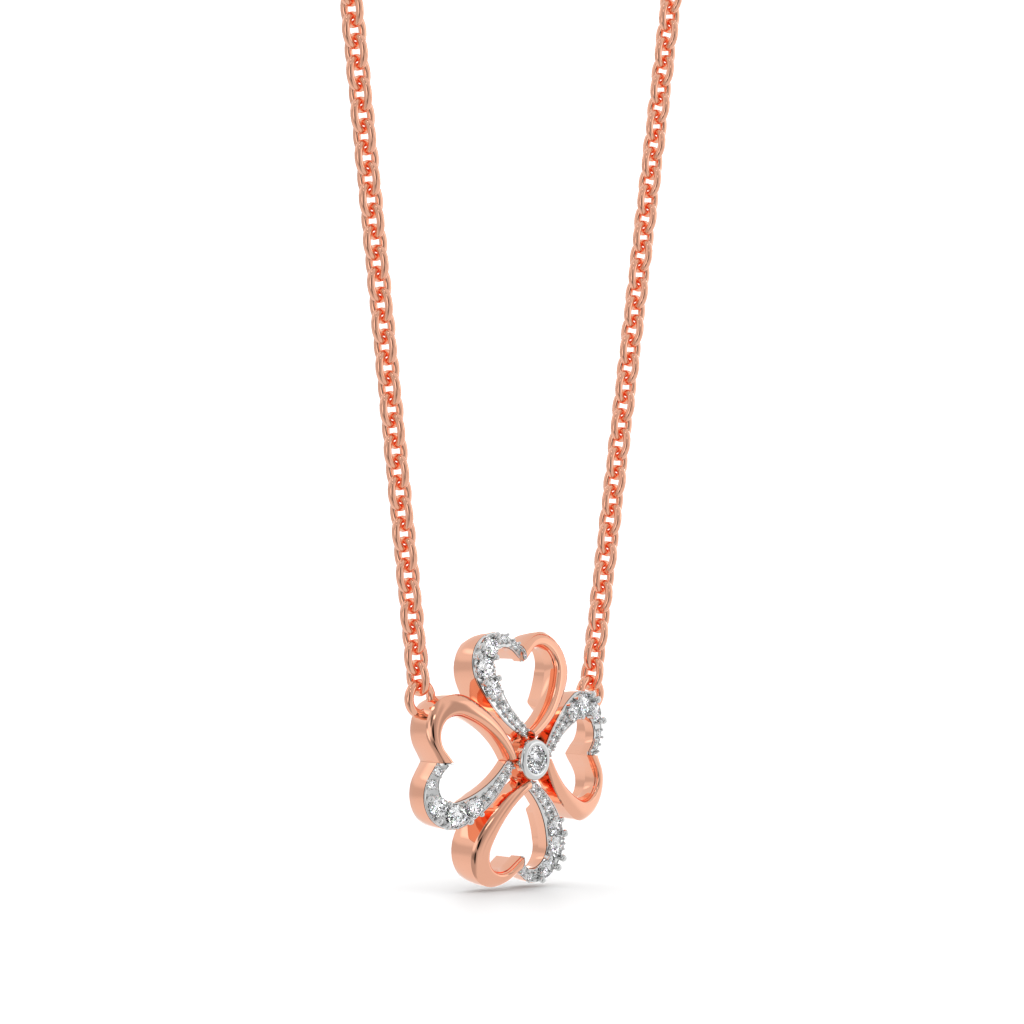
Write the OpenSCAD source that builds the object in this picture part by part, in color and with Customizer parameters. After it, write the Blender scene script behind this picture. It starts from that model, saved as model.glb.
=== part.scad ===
// Necklace with a clover of four open hearts on a fine link chain.
// Millimetres, +Z up, the pendant faces -Y.
// The origin is the inside top of the loop, where the necklace hangs.

/* [Clover] */
// Height of the loop's inside top above the clover's middle
drop = 198.8; // [180:0.1:220]
// Radius of the gently domed front of the clover
dome_r = 32; // [25:0.5:60]
// Front of the dome at the clover's middle, from the plane of the chain
dome_front = 2.23; // [2:0.01:2.5]
// Flat back of the heart walls, from the plane of the chain
wall_back = 0.73; // [0.5:0.01:1]
// Thickness of the domed front bands
band_t = 0.94; // [0.7:0.01:1.1]
// Rise of the polished bands' crown above the dome
crown_h = 0.42; // [0.2:0.01:0.6]

/* [Heart] */
// Distance of the outer cleft from the clover's middle
cleft_out = 7.84; // [7.6:0.01:8]
// Distance of the inner cleft from the clover's middle
cleft_in = 6.7; // [6.5:0.01:6.9]
// Lobe centre along the petal
lobe_u = 6.33; // [6.2:0.01:6.5]
// Lobe centre to the side of the petal
lobe_v = 2.17; // [2.1:0.01:2.25]
// Radius of the lobe's outside
lobe_r = 2.43; // [2.3:0.01:2.5]
// Radius of the leg's outside curve
leg_r = 9.5; // [9:0.1:10]
// Thickness of the walls behind the bands
wall_t = 0.95; // [0.7:0.01:1.1]

/* [Stones] */
// Thickness of the white stone plates
plate_t = 0.3; // [0.2:0.01:0.4]
// Clearance between neighbouring pieces
gap = 0.04; // [0.02:0.01:0.1]
// Diameter of the centre stone
center_d = 2.04; // [1.8:0.02:2.1]
// Diameter of the small stones
small_d = 0.76; // [0.6:0.01:0.8]

/* [Bezel] */
// Outer diameter of the rim round the centre stone
bezel_d = 2.86; // [2.7:0.02:3]
// Front of the rim, from the plane of the chain
bezel_front = 2.95; // [2.8:0.01:3.1]
// Height of the rim
rim_h = 0.45; // [0.35:0.01:0.5]
// Diameter of the collar that carries the rim
collar_d = 2.72; // [2.6:0.02:2.76]
// Diameter of the disc that joins the hearts under the collar
hub_d = 3.5; // [3:0.1:4]

/* [Rings and chain] */
// Side ring centre along the left petal
ring_u = 8.45; // [8.3:0.01:8.6]
// Side ring centre across the left petal
ring_v = 4.3; // [4.2:0.01:4.4]
// Outer diameter of a side ring
ring_d = 2.7; // [2.5:0.05:2.9]
// Wire of a side ring
ring_wire = 0.65; // [0.5:0.01:0.7]
// Outside of the chain across its links
chain_d = 2.04; // [1.8:0.02:2.2]

/* [Clasp] */
// Length of the clasp's body
clasp_len = 6.2; // [5:0.1:7]
// Height of the clasp's body
clasp_h = 2.6; // [2:0.1:2.6]
// Thickness of the clasp's body
clasp_t = 1.8; // [1.4:0.1:2.2]
// Outer diameter of the eye at each end of the clasp
eye_d = 2.7; // [2.4:0.1:2.7]
// Wire of the eyes
eye_wire = 0.6; // [0.5:0.05:0.7]
// How far an eye's centre stands out from the end of the body
eye_out = 1; // [0.8:0.1:1]

/* [Hidden] */

ROSE = [0.90, 0.62, 0.50];
WHITE = [0.86, 0.86, 0.85];
ICE = [0.93, 0.95, 0.97];

// Petals in the order that their names come, anticlockwise from the top
TOP = 0;
LEFT = 1;
BOTTOM = 2;
RIGHT = 3;

// Where the outer leg arc meets the lobe, and how far round it runs
leg_from = 115;
leg_to = 152;
// Inner outline of the polished half: lobe centre, radius, leg radius, meeting angle
polished_in = [[6.33, 1.72], 1.38, 7.6, 108];
// Inner outline of the stone plate: the same
plate_in = [[6.45, 1.5], 1.2, 9, 105];
// Inner outline of the seat behind the plate
seat_in = [[6.45, 1.5], 1.38, 9.18, 105];
// Steps along a leg and round a lobe
leg_steps = 14;
lobe_steps = 22;
// Steps across the crown
crown_steps = 8;
// Distance from the middle at which the walls end on the legs
wall_end = 4.1;
// How far the walls stand in from the bands' outside
wall_inset = 0.1;
// A height past the front of every piece
far = 6;

// Stones of one plate: place along the petal, place across it, diameter
big = [[4.85, 3.12, 1.25], [6.28, 3.62, 1.45], [7.78, 3.0, 1.25]];
small = [[1.95, 0.62], [2.38, 1.18], [2.86, 1.74], [3.38, 2.24], [3.94, 2.68], [8.16, 1.46], [7.72, 0.56]];
// How far a stone's head stands above the plate, and its top's share of its width
stone_h = 0.12;
head_top = 0.7;
// Centre stone: shares of its diameter that the table, crown and pavilion have
table_share = 0.57;
crown_share = 0.16;
pavilion_share = 0.43;
// Girdle of the centre stone: its front, behind the rim's front, and its height
girdle_back = 0.22;
girdle_h = 0.06;
// Slope round the rim's front: how far in and how far back it runs
rim_slope_in = 0.31;
rim_slope_back = 0.22;
// Foot of the rim, back of the hub and front of the centre stone's girdle
rim_foot = bezel_front - rim_h;
hub_back = dome_front - band_t;
girdle = bezel_front - girdle_back;

// The left strand's route as X, Z: from the side ring's centre straight up to
// the arch, then round it to the clasp
route = [[-8.45, -194.5], [-32.9, -37.1], [-33.3, -32], [-32.9, -26.8], [-31.7, -21.7],
         [-29.7, -16.9], [-26.9, -12.4], [-23.5, -8.5], [-19.6, -5.1], [-15.1, -2.3],
         [-10.3, -0.3], [-5.7, 0.9]];
// Rings of the tube along the straight stretch
straight_rings = 28;
// Sides of the tube
tube_sides = 8;
// Clearance between the side ring and the start of the tube
ring_gap = 0.15;

function polar(c, r, a) = c + r * [cos(a), sin(a)];
function arc(c, r, from, to, n) = [for (i = [0:n]) polar(c, r, from + (to - from) * i / n)];
// Angle at which a line from point p touches the circle, on its far side
function touch(c, r, p) =
    atan2(p[1] - c[1], p[0] - c[0]) + acos(r / norm(p - c));
// Centre of the leg arc that runs on smoothly from a lobe circle
function leg_centre(c, r, big_r, a) = c - (big_r - r) * [cos(a), sin(a)];
// Angle on the leg arc at which it crosses the petal's middle line
function vertex_angle(c, big_r) = 180 - asin(-c[1] / big_r);

// Half outlines as [along, across] points, from the middle of the clover to the cleft
function outline(c, r, big_r, a, end, tip) =
    concat(arc(leg_centre(c, r, big_r, a), big_r, end, a, leg_steps),
           [for (i = [1:lobe_steps]) polar(c, r, a + (touch(c, r, tip) - a) * i / lobe_steps)],
           [tip]);
function outer_half(inset = 0) =
    outline([lobe_u, lobe_v], lobe_r - inset, leg_r - inset, leg_from, leg_to, [cleft_out - inset, 0]);
function inner_half(shape) =
    outline(shape[0], shape[1], shape[2], shape[3],
            vertex_angle(leg_centre(shape[0], shape[1], shape[2], shape[3]), shape[2]),
            [cleft_in, 0]);
function backwards(list) = [for (i = [len(list) - 1:-1:0]) list[i]];
// Petal points to the front view of a petal that points up; side 1 is its left half
function front_view(points, side) = [for (p = points) [-side * p[1], p[0]]];
// Height of the dome above the chain's plane at a point
function dome(p) = dome_front - dome_r + sqrt(dome_r * dome_r - p[0] * p[0] - p[1] * p[1]);

// Height just behind the plates, at a distance from the middle
function behind_plates(r) = dome([r, 0]) - plate_t - 2 * gap;

// Front view coordinates to the necklace's own: the drawing's height is the way forward
module in_place() {
    translate([0, 0, -drop]) rotate([90, 0, 0]) children();
}

// All that lies further back than a depth below the dome
module behind_dome(depth) {
    translate([0, 0, dome_front - dome_r]) sphere(r = dome_r - depth, $fn = 240);
}

// Children between two depths below the dome
module between_domes(front, back) {
    difference() {
        intersection() {
            children();
            behind_dome(front);
        }
        behind_dome(back);
    }
}

// The polished half of a heart: a band swept from the middle to the cleft,
// with a rounded crown
module polished_band() {
    outside = outer_half();
    inside = inner_half(polished_in);
    n = len(outside);
    m = crown_steps + 3;
    function across(i, s) = inside[i] + (outside[i] - inside[i]) * s;
    function crown_point(i, j) =
        let(s = j / crown_steps, p = across(i, s), rise = crown_h * sqrt(max(0, 1 - pow(2 * s - 1, 2))))
        [p[1], p[0], dome(p) + rise];
    function back_point(i, s) = let(p = across(i, s)) [p[1], p[0], dome(p) - band_t];
    points = [for (i = [0:n - 1]) each concat([for (j = [0:crown_steps]) crown_point(i, j)],
                                              [back_point(i, 1), back_point(i, 0)])];
    sides = [for (i = [0:n - 2], j = [0:m - 1])
        [i * m + j, (i + 1) * m + j, (i + 1) * m + (j + 1) % m, i * m + (j + 1) % m]];
    ends = [[for (j = [0:m - 1]) j], [for (j = [m - 1:-1:0]) (n - 1) * m + j]];
    polyhedron(points, concat(sides, ends), convexity = 6);
}

// The band under the stone plate
module plate_seat() {
    between_domes(plate_t + gap, band_t)
        linear_extrude(far)
            polygon(front_view(concat(outer_half(), backwards(inner_half(seat_in))), 1));
}

// The straight wall behind a heart, from the flat back up into the bands
module heart_wall() {
    outside = outer_half(wall_inset);
    inside = outer_half(wall_inset + wall_t);
    difference() {
        intersection() {
            translate([0, 0, -wall_back])
                linear_extrude(far)
                    for (side = [-1, 1])
                        polygon(front_view(concat(outside, backwards(inside)), side));
            behind_dome(band_t / 2);
        }
        translate([0, 0, -far / 2]) cylinder(r = wall_end, h = far);
    }
}

module side_ring() {
    rotate_extrude($fn = 36) translate([(ring_d - ring_wire) / 2, 0]) circle(d = ring_wire, $fn = 16);
}

// Disc that joins the hearts, with the collar that the rim sits on, and a
// funnel for the centre stone's pavilion
module hub() {
    difference() {
        union() {
            translate([0, 0, hub_back]) {
                cylinder(d = hub_d, h = behind_plates(hub_d / 2) - hub_back, $fn = 64);
                cylinder(d = collar_d, h = rim_foot - gap - hub_back, $fn = 64);
            }
        }
        translate([0, 0, -gap]) pavilion(center_d + 2 * gap);
    }
}

module clover_frame() color(ROSE) in_place() {
    difference() {
        for (petal = [TOP:RIGHT]) rotate(90 * petal) {
            polished_band();
            plate_seat();
            heart_wall();
        }
        translate([0, 0, rim_foot - gap]) cylinder(d = bezel_d + 2 * gap, h = far, $fn = 64);
    }
    hub();
    for (side = [-1, 1]) translate([side * ring_u, ring_v, 0]) side_ring();
}

// One stone's head, from the middle of the plate's thickness
module stone_head(place, d) {
    translate([-place[1], place[0], dome(place) - plate_t / 2])
        cylinder(d1 = d, d2 = d * head_top, h = plate_t / 2 + stone_h, $fn = 32);
}

// The outline of a plate, clear of its neighbours and of the collar
module plate_blank() {
    difference() {
        linear_extrude(far)
            polygon(front_view(concat(outer_half(gap), backwards(inner_half(plate_in))), 1));
        translate([-gap, 0, 0]) cube([far, 2 * far, far]);
        cylinder(d = collar_d + 2 * gap, h = far, $fn = 64);
    }
}

module plate(petal) color(WHITE) in_place() rotate(90 * petal) {
    between_domes(0, plate_t) plate_blank();
    for (s = big) stone_head([s[0], s[1]], s[2]);
    for (s = small) stone_head(s, small_d);
}
module pave_top() plate(TOP);
module pave_left() plate(LEFT);
module pave_bottom() plate(BOTTOM);
module pave_right() plate(RIGHT);

module bezel() color(WHITE) in_place() {
    inside = center_d / 2 + gap;
    outside = bezel_d / 2;
    rotate_extrude($fn = 64)
        polygon([[inside, rim_foot], [outside, rim_foot], [outside, bezel_front - rim_slope_back],
                 [outside - rim_slope_in, bezel_front], [inside, bezel_front]]);
}

// The cone of a brilliant below its girdle
module pavilion(d) {
    h = d * pavilion_share;
    translate([0, 0, girdle - girdle_h - h]) cylinder(d1 = 0, d2 = d, h = h, $fn = 48);
}

// A round brilliant: pavilion, girdle, crown and table
module center_stone() color(ICE) in_place() {
    table_d = center_d * table_share;
    pavilion(center_d);
    translate([0, 0, girdle - girdle_h]) cylinder(d = center_d, h = girdle_h, $fn = 48);
    translate([0, 0, girdle]) cylinder(d1 = center_d, d2 = table_d, h = center_d * crown_share, $fn = 48);
}

// Tube along the strand: a ring of points at each stop of the route
function start_point() =
    let(d = route[1] - route[0]) route[0] + d / norm(d) * (ring_d / 2 + ring_gap);
function stops() =
    let(p = start_point(), way = route[1] - p)
    concat([for (i = [0:straight_rings - 1]) p + way * i / straight_rings],
           [for (i = [1:len(route) - 1]) route[i]]);
function heading(list, i) =
    let(d = list[min(i + 1, len(list) - 1)] - list[max(i - 1, 0)]) d / norm(d);
module strand(side) {
    path = stops();
    rings = len(path);
    points = [for (i = [0:rings - 1], k = [0:tube_sides - 1])
        let(d = heading(path, i), across = [-d[1], d[0]],
            a = 360 * k / tube_sides, p = path[i] + across * cos(a) * chain_d / 2)
        [side * p[0], side * sin(a) * chain_d / 2, p[1]]];
    walls = [for (i = [0:rings - 2], k = [0:tube_sides - 1])
        let(next = (k + 1) % tube_sides)
        [i * tube_sides + k, (i + 1) * tube_sides + k, (i + 1) * tube_sides + next, i * tube_sides + next]];
    ends = [[for (k = [0:tube_sides - 1]) k],
            [for (k = [tube_sides - 1:-1:0]) (rings - 1) * tube_sides + k]];
    polyhedron(points, concat(walls, ends), convexity = 10);
}
module chain_left() color(ROSE) strand(1);
module chain_right() color(ROSE) strand(-1);

// Clasp: a rounded body with an eye at each end for the chain's last links
module clasp() color(ROSE) translate([0, 0, clasp_h / 2]) rotate([90, 0, 0]) {
    half = (clasp_len - clasp_h) / 2;
    translate([0, 0, -clasp_t / 2]) {
        for (side = [-1, 1]) translate([side * half, 0, 0]) cylinder(d = clasp_h, h = clasp_t, $fn = 64);
        translate([-half, -clasp_h / 2, 0]) cube([2 * half, clasp_h, clasp_t]);
    }
    for (side = [-1, 1]) translate([side * (clasp_len / 2 + eye_out), 0, 0])
        rotate_extrude($fn = 64) translate([(eye_d - eye_wire) / 2, 0]) circle(d = eye_wire, $fn = 24);
}

clover_frame();
pave_top();
pave_left();
pave_bottom();
pave_right();
bezel();
center_stone();
chain_left();
chain_right();
clasp();
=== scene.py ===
from collections import namedtuple
from functools import partial
from math import acos, asin, atan2, cos, degrees, pi, radians, sin, sqrt, tan

import bmesh
import bpy
from bpy.props import FloatProperty, FloatVectorProperty, PointerProperty
from mathutils import Matrix, Vector


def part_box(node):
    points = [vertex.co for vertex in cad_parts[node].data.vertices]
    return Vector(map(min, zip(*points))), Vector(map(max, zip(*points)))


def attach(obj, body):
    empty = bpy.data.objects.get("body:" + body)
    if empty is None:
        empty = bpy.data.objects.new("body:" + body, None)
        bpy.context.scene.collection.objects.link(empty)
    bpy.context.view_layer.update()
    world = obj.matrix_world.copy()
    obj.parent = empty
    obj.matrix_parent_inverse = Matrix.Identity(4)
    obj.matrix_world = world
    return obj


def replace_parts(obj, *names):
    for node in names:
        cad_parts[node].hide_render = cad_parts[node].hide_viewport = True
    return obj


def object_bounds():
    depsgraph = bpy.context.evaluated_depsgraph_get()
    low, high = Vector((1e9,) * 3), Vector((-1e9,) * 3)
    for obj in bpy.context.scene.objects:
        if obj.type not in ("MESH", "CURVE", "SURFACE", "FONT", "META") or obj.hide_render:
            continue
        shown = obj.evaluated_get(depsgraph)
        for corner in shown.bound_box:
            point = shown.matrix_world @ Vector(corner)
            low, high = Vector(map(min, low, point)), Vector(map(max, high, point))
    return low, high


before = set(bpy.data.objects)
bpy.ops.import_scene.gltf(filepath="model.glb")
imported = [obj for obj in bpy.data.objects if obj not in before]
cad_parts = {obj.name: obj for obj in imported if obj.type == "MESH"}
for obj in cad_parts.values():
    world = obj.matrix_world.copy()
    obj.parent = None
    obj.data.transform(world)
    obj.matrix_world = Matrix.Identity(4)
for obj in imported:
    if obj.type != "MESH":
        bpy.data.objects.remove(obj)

bl_info = {
    "name": "Clover necklace",
    "version": (1, 0, 0),
    "blender": (4, 5, 0),
    "location": "View3D > Sidebar > Necklace",
    "description": "Clover of four open hearts with stones, on a fine link chain",
    "category": "Add Mesh",
}

CAD_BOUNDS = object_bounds()
BODY = "root"

# The clover is drawn in millimetres, seen from the front, with its middle at
# zero and its height towards the viewer. The frame is in metres.
MM = 0.001
RIM_LOW, RIM_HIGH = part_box("bezel")
MIDDLE = (RIM_LOW + RIM_HIGH) / 2


def frame_place(middle):
    """Matrix that stands a drawing upright in the frame, with its zero at a place there."""
    return Matrix.Translation(middle) @ Matrix.Rotation(pi / 2, 4, "X") @ Matrix.Scale(MM, 4)


DRAWING_TO_FRAME = frame_place((MIDDLE.x, 0, MIDDLE.z))

# Petals in the order of their names, anticlockwise from the top
PETALS = ("top", "left", "bottom", "right")
# The half of a petal that lies to the right of its middle line is polished,
# the left half is set with stones
POLISHED = 1
STONES = -1

# Dome that the fronts lie on, the flat back of the heart walls, and thickness
# of the bands that cross between them near the hub
DOME_RADIUS = 32
DOME_FRONT = 2.23
WALL_BACK = -0.88
BAND_T = 0.94
# Distances from the middle between which the walls are cut away to the back
CUT_FROM = 4.1
CUT_TO = 4.95

# Half outlines: lobe centre along and across the petal, its radius, radius of
# the leg's arc, angle at which they meet, distance of the cleft from the
# middle, and angle at which the leg starts where that isn't the middle line
Half = namedtuple("Half", "along across radius leg_radius meet cleft start")
OUTER = Half(6.33, 2.17, 2.43, 8.6, 118, 7.84, 156)
# Outline of the walls' back, wider towards the middle where neighbours meet
FOOT = Half(6.23, 2.17, 2.28, 9.26, 115, 7.5, 151)
POLISHED_IN = Half(6.33, 1.72, 1.38, 6.8, 108, 6.7, None)
# A plate's outline lies half a gap inside the heart's
PLATE_OUT = Half(6.33, 2.17, 2.41, 8.58, 118, 7.82, 156)
PLATE_IN = Half(6.45, 1.5, 1.26, 7.7, 105, 6.7, None)
SEAT_IN = Half(6.45, 1.5, 1.22, 7.66, 105, 6.7, None)
LEG_STEPS = 110
LOBE_STEPS = 60
LINE_STEPS = 4
FILLET_STEPS = 4
CLEFT_FILLET = 0.1
# Thickness of the walls at the lobes, what is left of it at their ends, the
# distance where it is full, and the most of a band's width that it takes
WALL_T = 1.0
WALL_END_T = 0.45
WALL_FULL_FROM = 7
WALL_SHARE = 0.92
# Most of a narrow band's width for the crown's two shoulders, and its most rise
# as a share of the outer one
INNER_SHARE = 0.38
OUTER_SHARE = 0.6
RISE_SHARE = 0.95

# Stones of one plate in the order of their row: place along and across the
# petal, diameter, and height of the girdle over the dome
Stone = namedtuple("Stone", "along across size lift")
SMALL = 0.62
ROW = (
    Stone(1.98, 0.55, SMALL, -0.01),
    Stone(2.49, 1.16, SMALL, -0.01),
    Stone(3.0, 1.74, SMALL, -0.01),
    Stone(3.55, 2.24, SMALL, -0.01),
    Stone(4.1, 2.68, SMALL, -0.01),
    Stone(4.88, 3.14, 1.34, 0.14),
    Stone(6.28, 3.6, 1.52, 0.17),
    Stone(7.76, 2.98, 1.38, 0.14),
    Stone(8.28, 1.45, SMALL, -0.01),
    Stone(7.84, 0.58, SMALL, -0.01),
)
# Claws beside the large stones: place, and size as a share of the largest
Claw = namedtuple("Claw", "along across share")
CLAWS = (
    Claw(4.33, 3.56, 0.75),
    Claw(5.28, 3.98, 1),
    Claw(7.04, 4.25, 1),
    Claw(7.68, 3.87, 1),
    Claw(8.44, 2.37, 0.95),
    Claw(4.2, 2.78, 0.7),
    Claw(5.58, 2.76, 0.85),
    Claw(6.99, 2.76, 0.85),
    Claw(8.06, 2.28, 0.7),
)
BEAD_R = 0.11
BEAD_HEIGHT = 0.22
CLAW_R = 0.27
CLAW_HEIGHT = 0.6
# Beads tried round a large stone, and the room that they keep from a whole claw
BEADS_ROUND = 14
CLAW_ROOM = 0.3
PLATE_T = 0.12
PIECE_GAP = 0.04
# Trough under a plate: distance from the band's edges, depth, and lean of its sides
TROUGH_EDGE = 0.12
TROUGH_DEPTH = 0.56
TROUGH_LEAN = 0.02

# Rim and collar round the centre stone, and the hub behind them
RIM_FRONT = 2.95
RIM_FOOT = 2.5
RIM_R = 1.43
COLLAR_R = 1.36
HUB_R = 1.75
HUB_BACK = 1.29
HUB_FRONT = 1.8
CENTER_D = 2.04
GIRDLE_FRONT = 2.73

# Turn from each stone of a row to the next in degrees
STONE_TURN = 17
# Shares of a brilliant's diameter, and the slopes of its facets in degrees
TABLE_SHARE = 0.57
CULET_SHARE = 0.43
GIRDLE_SHARE = 0.03
KITE_SLOPE = 34.5
STAR_SLOPE = 21
UPPER_SLOPE = 41
MAIN_SLOPE = 40.8
LOWER_SLOPE = 42.2
# Cup of the rim under the centre stone's point
CUP_FLOOR = GIRDLE_FRONT - CENTER_D * (CULET_SHARE + GIRDLE_SHARE) - 0.03
CUP_BACK = CUP_FLOOR - 0.08

# Steps round the hub and rim, and round rings of wire
ROUND_STEPS = 96
WIRE_STEPS = 48
# Centre of the right side ring, and radius of its solder as a share of its wire
SIDE_RING = Vector((8.45, 4.3))
SOLDER_SHARE = 0.42

# The left strand's route as X and Z in metres, from the side ring's centre
# straight up to the arch and round it to the centre of the clasp's eye
ROUTE = ((-0.00845, -0.1945), (-0.0329, -0.0371), (-0.0333, -0.032), (-0.0329, -0.0268),
         (-0.0317, -0.0217), (-0.0297, -0.0169), (-0.0269, -0.0124), (-0.0235, -0.0085),
         (-0.0196, -0.0051), (-0.0151, -0.0023), (-0.0103, -0.0003), (-0.0041, 0.0013))


def direction(angle):
    """Unit vector at an angle in degrees."""
    return Vector((cos(radians(angle)), sin(radians(angle))))


def spread(start, end, steps):
    """Even steps from start to end, both included."""
    return [start + (end - start) * i / steps for i in range(steps + 1)]


def spot(item):
    """Place of a stone, claw or lobe, along and across its petal."""
    return Vector((item.along, item.across))


def dome(p):
    """Height of the dome at a point of the drawing."""
    return DOME_FRONT - DOME_RADIUS + sqrt(DOME_RADIUS ** 2 - p.x ** 2 - p.y ** 2)


def outline(half, fillet):
    """Points of a half heart from the clover's middle to the cleft, as along and across."""
    lobe = spot(half)
    leg = lobe - (half.leg_radius - half.radius) * direction(half.meet)
    start = half.start or 180 - degrees(asin(-leg.y / half.leg_radius))
    tip = Vector((half.cleft, 0))
    reach = tip - lobe
    touch = degrees(atan2(reach.y, reach.x) + acos(half.radius / reach.length))
    edge = lobe + half.radius * direction(touch)
    slope = atan2(edge.y, edge.x - tip.x)
    nose = tip + Vector((fillet / sin(slope), 0))
    turn = 90 + degrees(slope)
    bend = nose + fillet * direction(turn)
    points = [leg + half.leg_radius * direction(a) for a in spread(start, half.meet, LEG_STEPS)]
    points += [lobe + half.radius * direction(a) for a in spread(half.meet, touch, LOBE_STEPS)[1:]]
    points += [edge.lerp(bend, s) for s in spread(0, 1, LINE_STEPS)[1:]]
    points += [nose + fillet * direction(a) for a in spread(turn, 180, FILLET_STEPS)[1:]]
    return points


def swept(rows):
    """A closed solid through rows of points, each row one closed section of it."""
    bm = bmesh.new()
    across = len(rows[0])
    bmesh.ops.create_grid(bm, x_segments=across, y_segments=len(rows) - 1, size=1)
    bm.verts.ensure_lookup_table()
    for i, row in enumerate(rows):
        for j in range(across + 1):
            bm.verts[i * (across + 1) + j].co = row[j % across]
    bmesh.ops.remove_doubles(bm, verts=bm.verts, dist=0.0005)
    bmesh.ops.holes_fill(bm, edges=bm.edges, sides=0)
    bmesh.ops.recalc_face_normals(bm, faces=bm.faces)
    return bm


def spun(profile, steps):
    """A round solid or ring from its section, given as radius and height."""
    bm = bmesh.new()
    verts = [bm.verts.new((r, 0, h)) for r, h in profile]
    closed = profile[0][0] > 0
    pairs = list(zip(verts, verts[1:])) + ([(verts[-1], verts[0])] if closed else [])
    edges = [bm.edges.new(pair) for pair in pairs]
    bmesh.ops.spin(bm, geom=verts + edges, cent=(0, 0, 0), axis=(0, 0, 1), angle=2 * pi,
                   steps=steps, use_merge=True)
    bmesh.ops.remove_doubles(bm, verts=bm.verts, dist=0.0005)
    bmesh.ops.recalc_face_normals(bm, faces=bm.faces)
    return bm


def ring(radius, wire, steps, sides):
    """A wire ring lying flat."""
    section = [(radius + wire / 2 * cos(2 * pi * k / sides), wire / 2 * sin(2 * pi * k / sides))
               for k in range(sides)]
    return spun(section, steps)


def add_copy(bm, part, matrix):
    """Adds a moved copy of a mesh to another."""
    before = len(bm.verts)
    bm.from_mesh(part)
    bm.verts.ensure_lookup_table()
    bmesh.ops.transform(bm, matrix=matrix, verts=bm.verts[before:])


def as_part(bm, name):
    """Turns a finished bmesh into a mesh that can be copied."""
    part = bpy.data.meshes.new(name)
    bm.to_mesh(part)
    bm.free()
    return part


def shade(bm, angle):
    """Smooth faces, with the edges over an angle in degrees kept sharp."""
    for face in bm.faces:
        face.smooth = True
    for edge in bm.edges:
        edge.smooth = len(edge.link_faces) == 2 and edge.calc_face_angle(0) < radians(angle)


def piece(name, bm, slot, matrix=DRAWING_TO_FRAME, angle=32):
    """Places a finished mesh in the frame as a piece that rides on the necklace."""
    bmesh.ops.transform(bm, matrix=matrix, verts=bm.verts)
    shade(bm, angle)
    mesh = as_part(bm, name)
    obj = bpy.data.objects.new(name, mesh)
    bpy.context.scene.collection.objects.link(obj)
    mesh.materials.append(finish(slot))
    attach(obj, BODY)
    return obj


def math_node(nodes, links, operation, *values):
    """A Math node's output, fed with numbers or other outputs."""
    node = nodes.new("ShaderNodeMath")
    node.operation = operation
    for i, value in enumerate(values):
        if isinstance(value, (int, float)):
            node.inputs[i].default_value = value
        else:
            links.new(value, node.inputs[i])
    return node.outputs[0]


def node_group(name, inputs, outputs):
    """A shader node group with its sockets, each given as a name and kind."""
    group = bpy.data.node_groups.new(name, "ShaderNodeTree")
    for way, sockets in (("INPUT", inputs), ("OUTPUT", outputs)):
        for socket, kind in sockets.items():
            group.interface.new_socket(name=socket, in_out=way, socket_type="NodeSocket" + kind)
    return group, group.nodes.new("NodeGroupInput").outputs, group.nodes.new("NodeGroupOutput").inputs


# How fine the metals' changes of tone, gloss and evenness are, each with its
# detail, and the depth of the unevenness in metres
TONE_NOISE = (420, 2)
GLOSS_NOISE = (2600, 4)
WAVE_NOISE = (1500, 1)
WAVE_DEPTH = 0.00002


def surface_wear():
    """Node group: slow changes of tone, fine changes of gloss and a hand-polished unevenness."""
    name = "Hand polish"
    if name in bpy.data.node_groups:
        return bpy.data.node_groups[name]
    group, inputs, outputs = node_group(
        name,
        {"Metal": "Color", "Deep metal": "Color", "Smooth": "Float", "Dull": "Float", "Unevenness": "Float"},
        {"Color": "Color", "Roughness": "Float", "Normal": "Vector"})
    nodes, links = group.nodes, group.links
    place = nodes.new("ShaderNodeTexCoord").outputs["Object"]

    def noise(scale, detail):
        node = nodes.new("ShaderNodeTexNoise")
        node.inputs["Scale"].default_value = scale
        node.inputs["Detail"].default_value = detail
        links.new(place, node.inputs["Vector"])
        return node.outputs["Fac"]

    def mix(kind, share, first, second, result):
        node = nodes.new("ShaderNodeMix")
        node.data_type = kind
        links.new(share, node.inputs["Factor"])
        links.new(inputs[first], node.inputs["A"])
        links.new(inputs[second], node.inputs["B"])
        links.new(node.outputs["Result"], outputs[result])

    mix("RGBA", noise(*TONE_NOISE), "Metal", "Deep metal", "Color")
    mix("FLOAT", noise(*GLOSS_NOISE), "Smooth", "Dull", "Roughness")
    bump = nodes.new("ShaderNodeBump")
    bump.inputs["Distance"].default_value = WAVE_DEPTH
    links.new(inputs["Unevenness"], bump.inputs["Strength"])
    links.new(noise(*WAVE_NOISE), bump.inputs["Height"])
    links.new(bump.outputs["Normal"], outputs["Normal"])
    return group


def new_material(name):
    """An empty material with its nodes, their links and the inputs of its shader."""
    material = bpy.data.materials.new(name)
    material.use_nodes = True
    nodes = material.node_tree.nodes
    return material, nodes, material.node_tree.links, nodes["Principled BSDF"].inputs


def metal(name, color, deep, smooth, dull, unevenness):
    """A polished metal with its own colours and its share of the hand polish."""
    material, nodes, links, shader = new_material(name)
    shader["Metallic"].default_value = 1
    wear = nodes.new("ShaderNodeGroup")
    wear.node_tree = surface_wear()
    values = {"Metal": (*color, 1), "Deep metal": (*deep, 1), "Smooth": smooth, "Dull": dull,
              "Unevenness": unevenness}
    for socket, value in values.items():
        wear.inputs[socket].default_value = value
    links.new(wear.outputs["Color"], shader["Base Color"])
    links.new(wear.outputs["Roughness"], shader["Roughness"])
    links.new(wear.outputs["Normal"], shader["Normal"])
    return material


def random_cells(nodes, links, place, scale):
    """Small cells of space, each with a random colour."""
    cells = nodes.new("ShaderNodeTexVoronoi")
    cells.inputs["Scale"].default_value = scale
    links.new(place, cells.inputs["Vector"])
    return cells.outputs["Color"]


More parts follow.
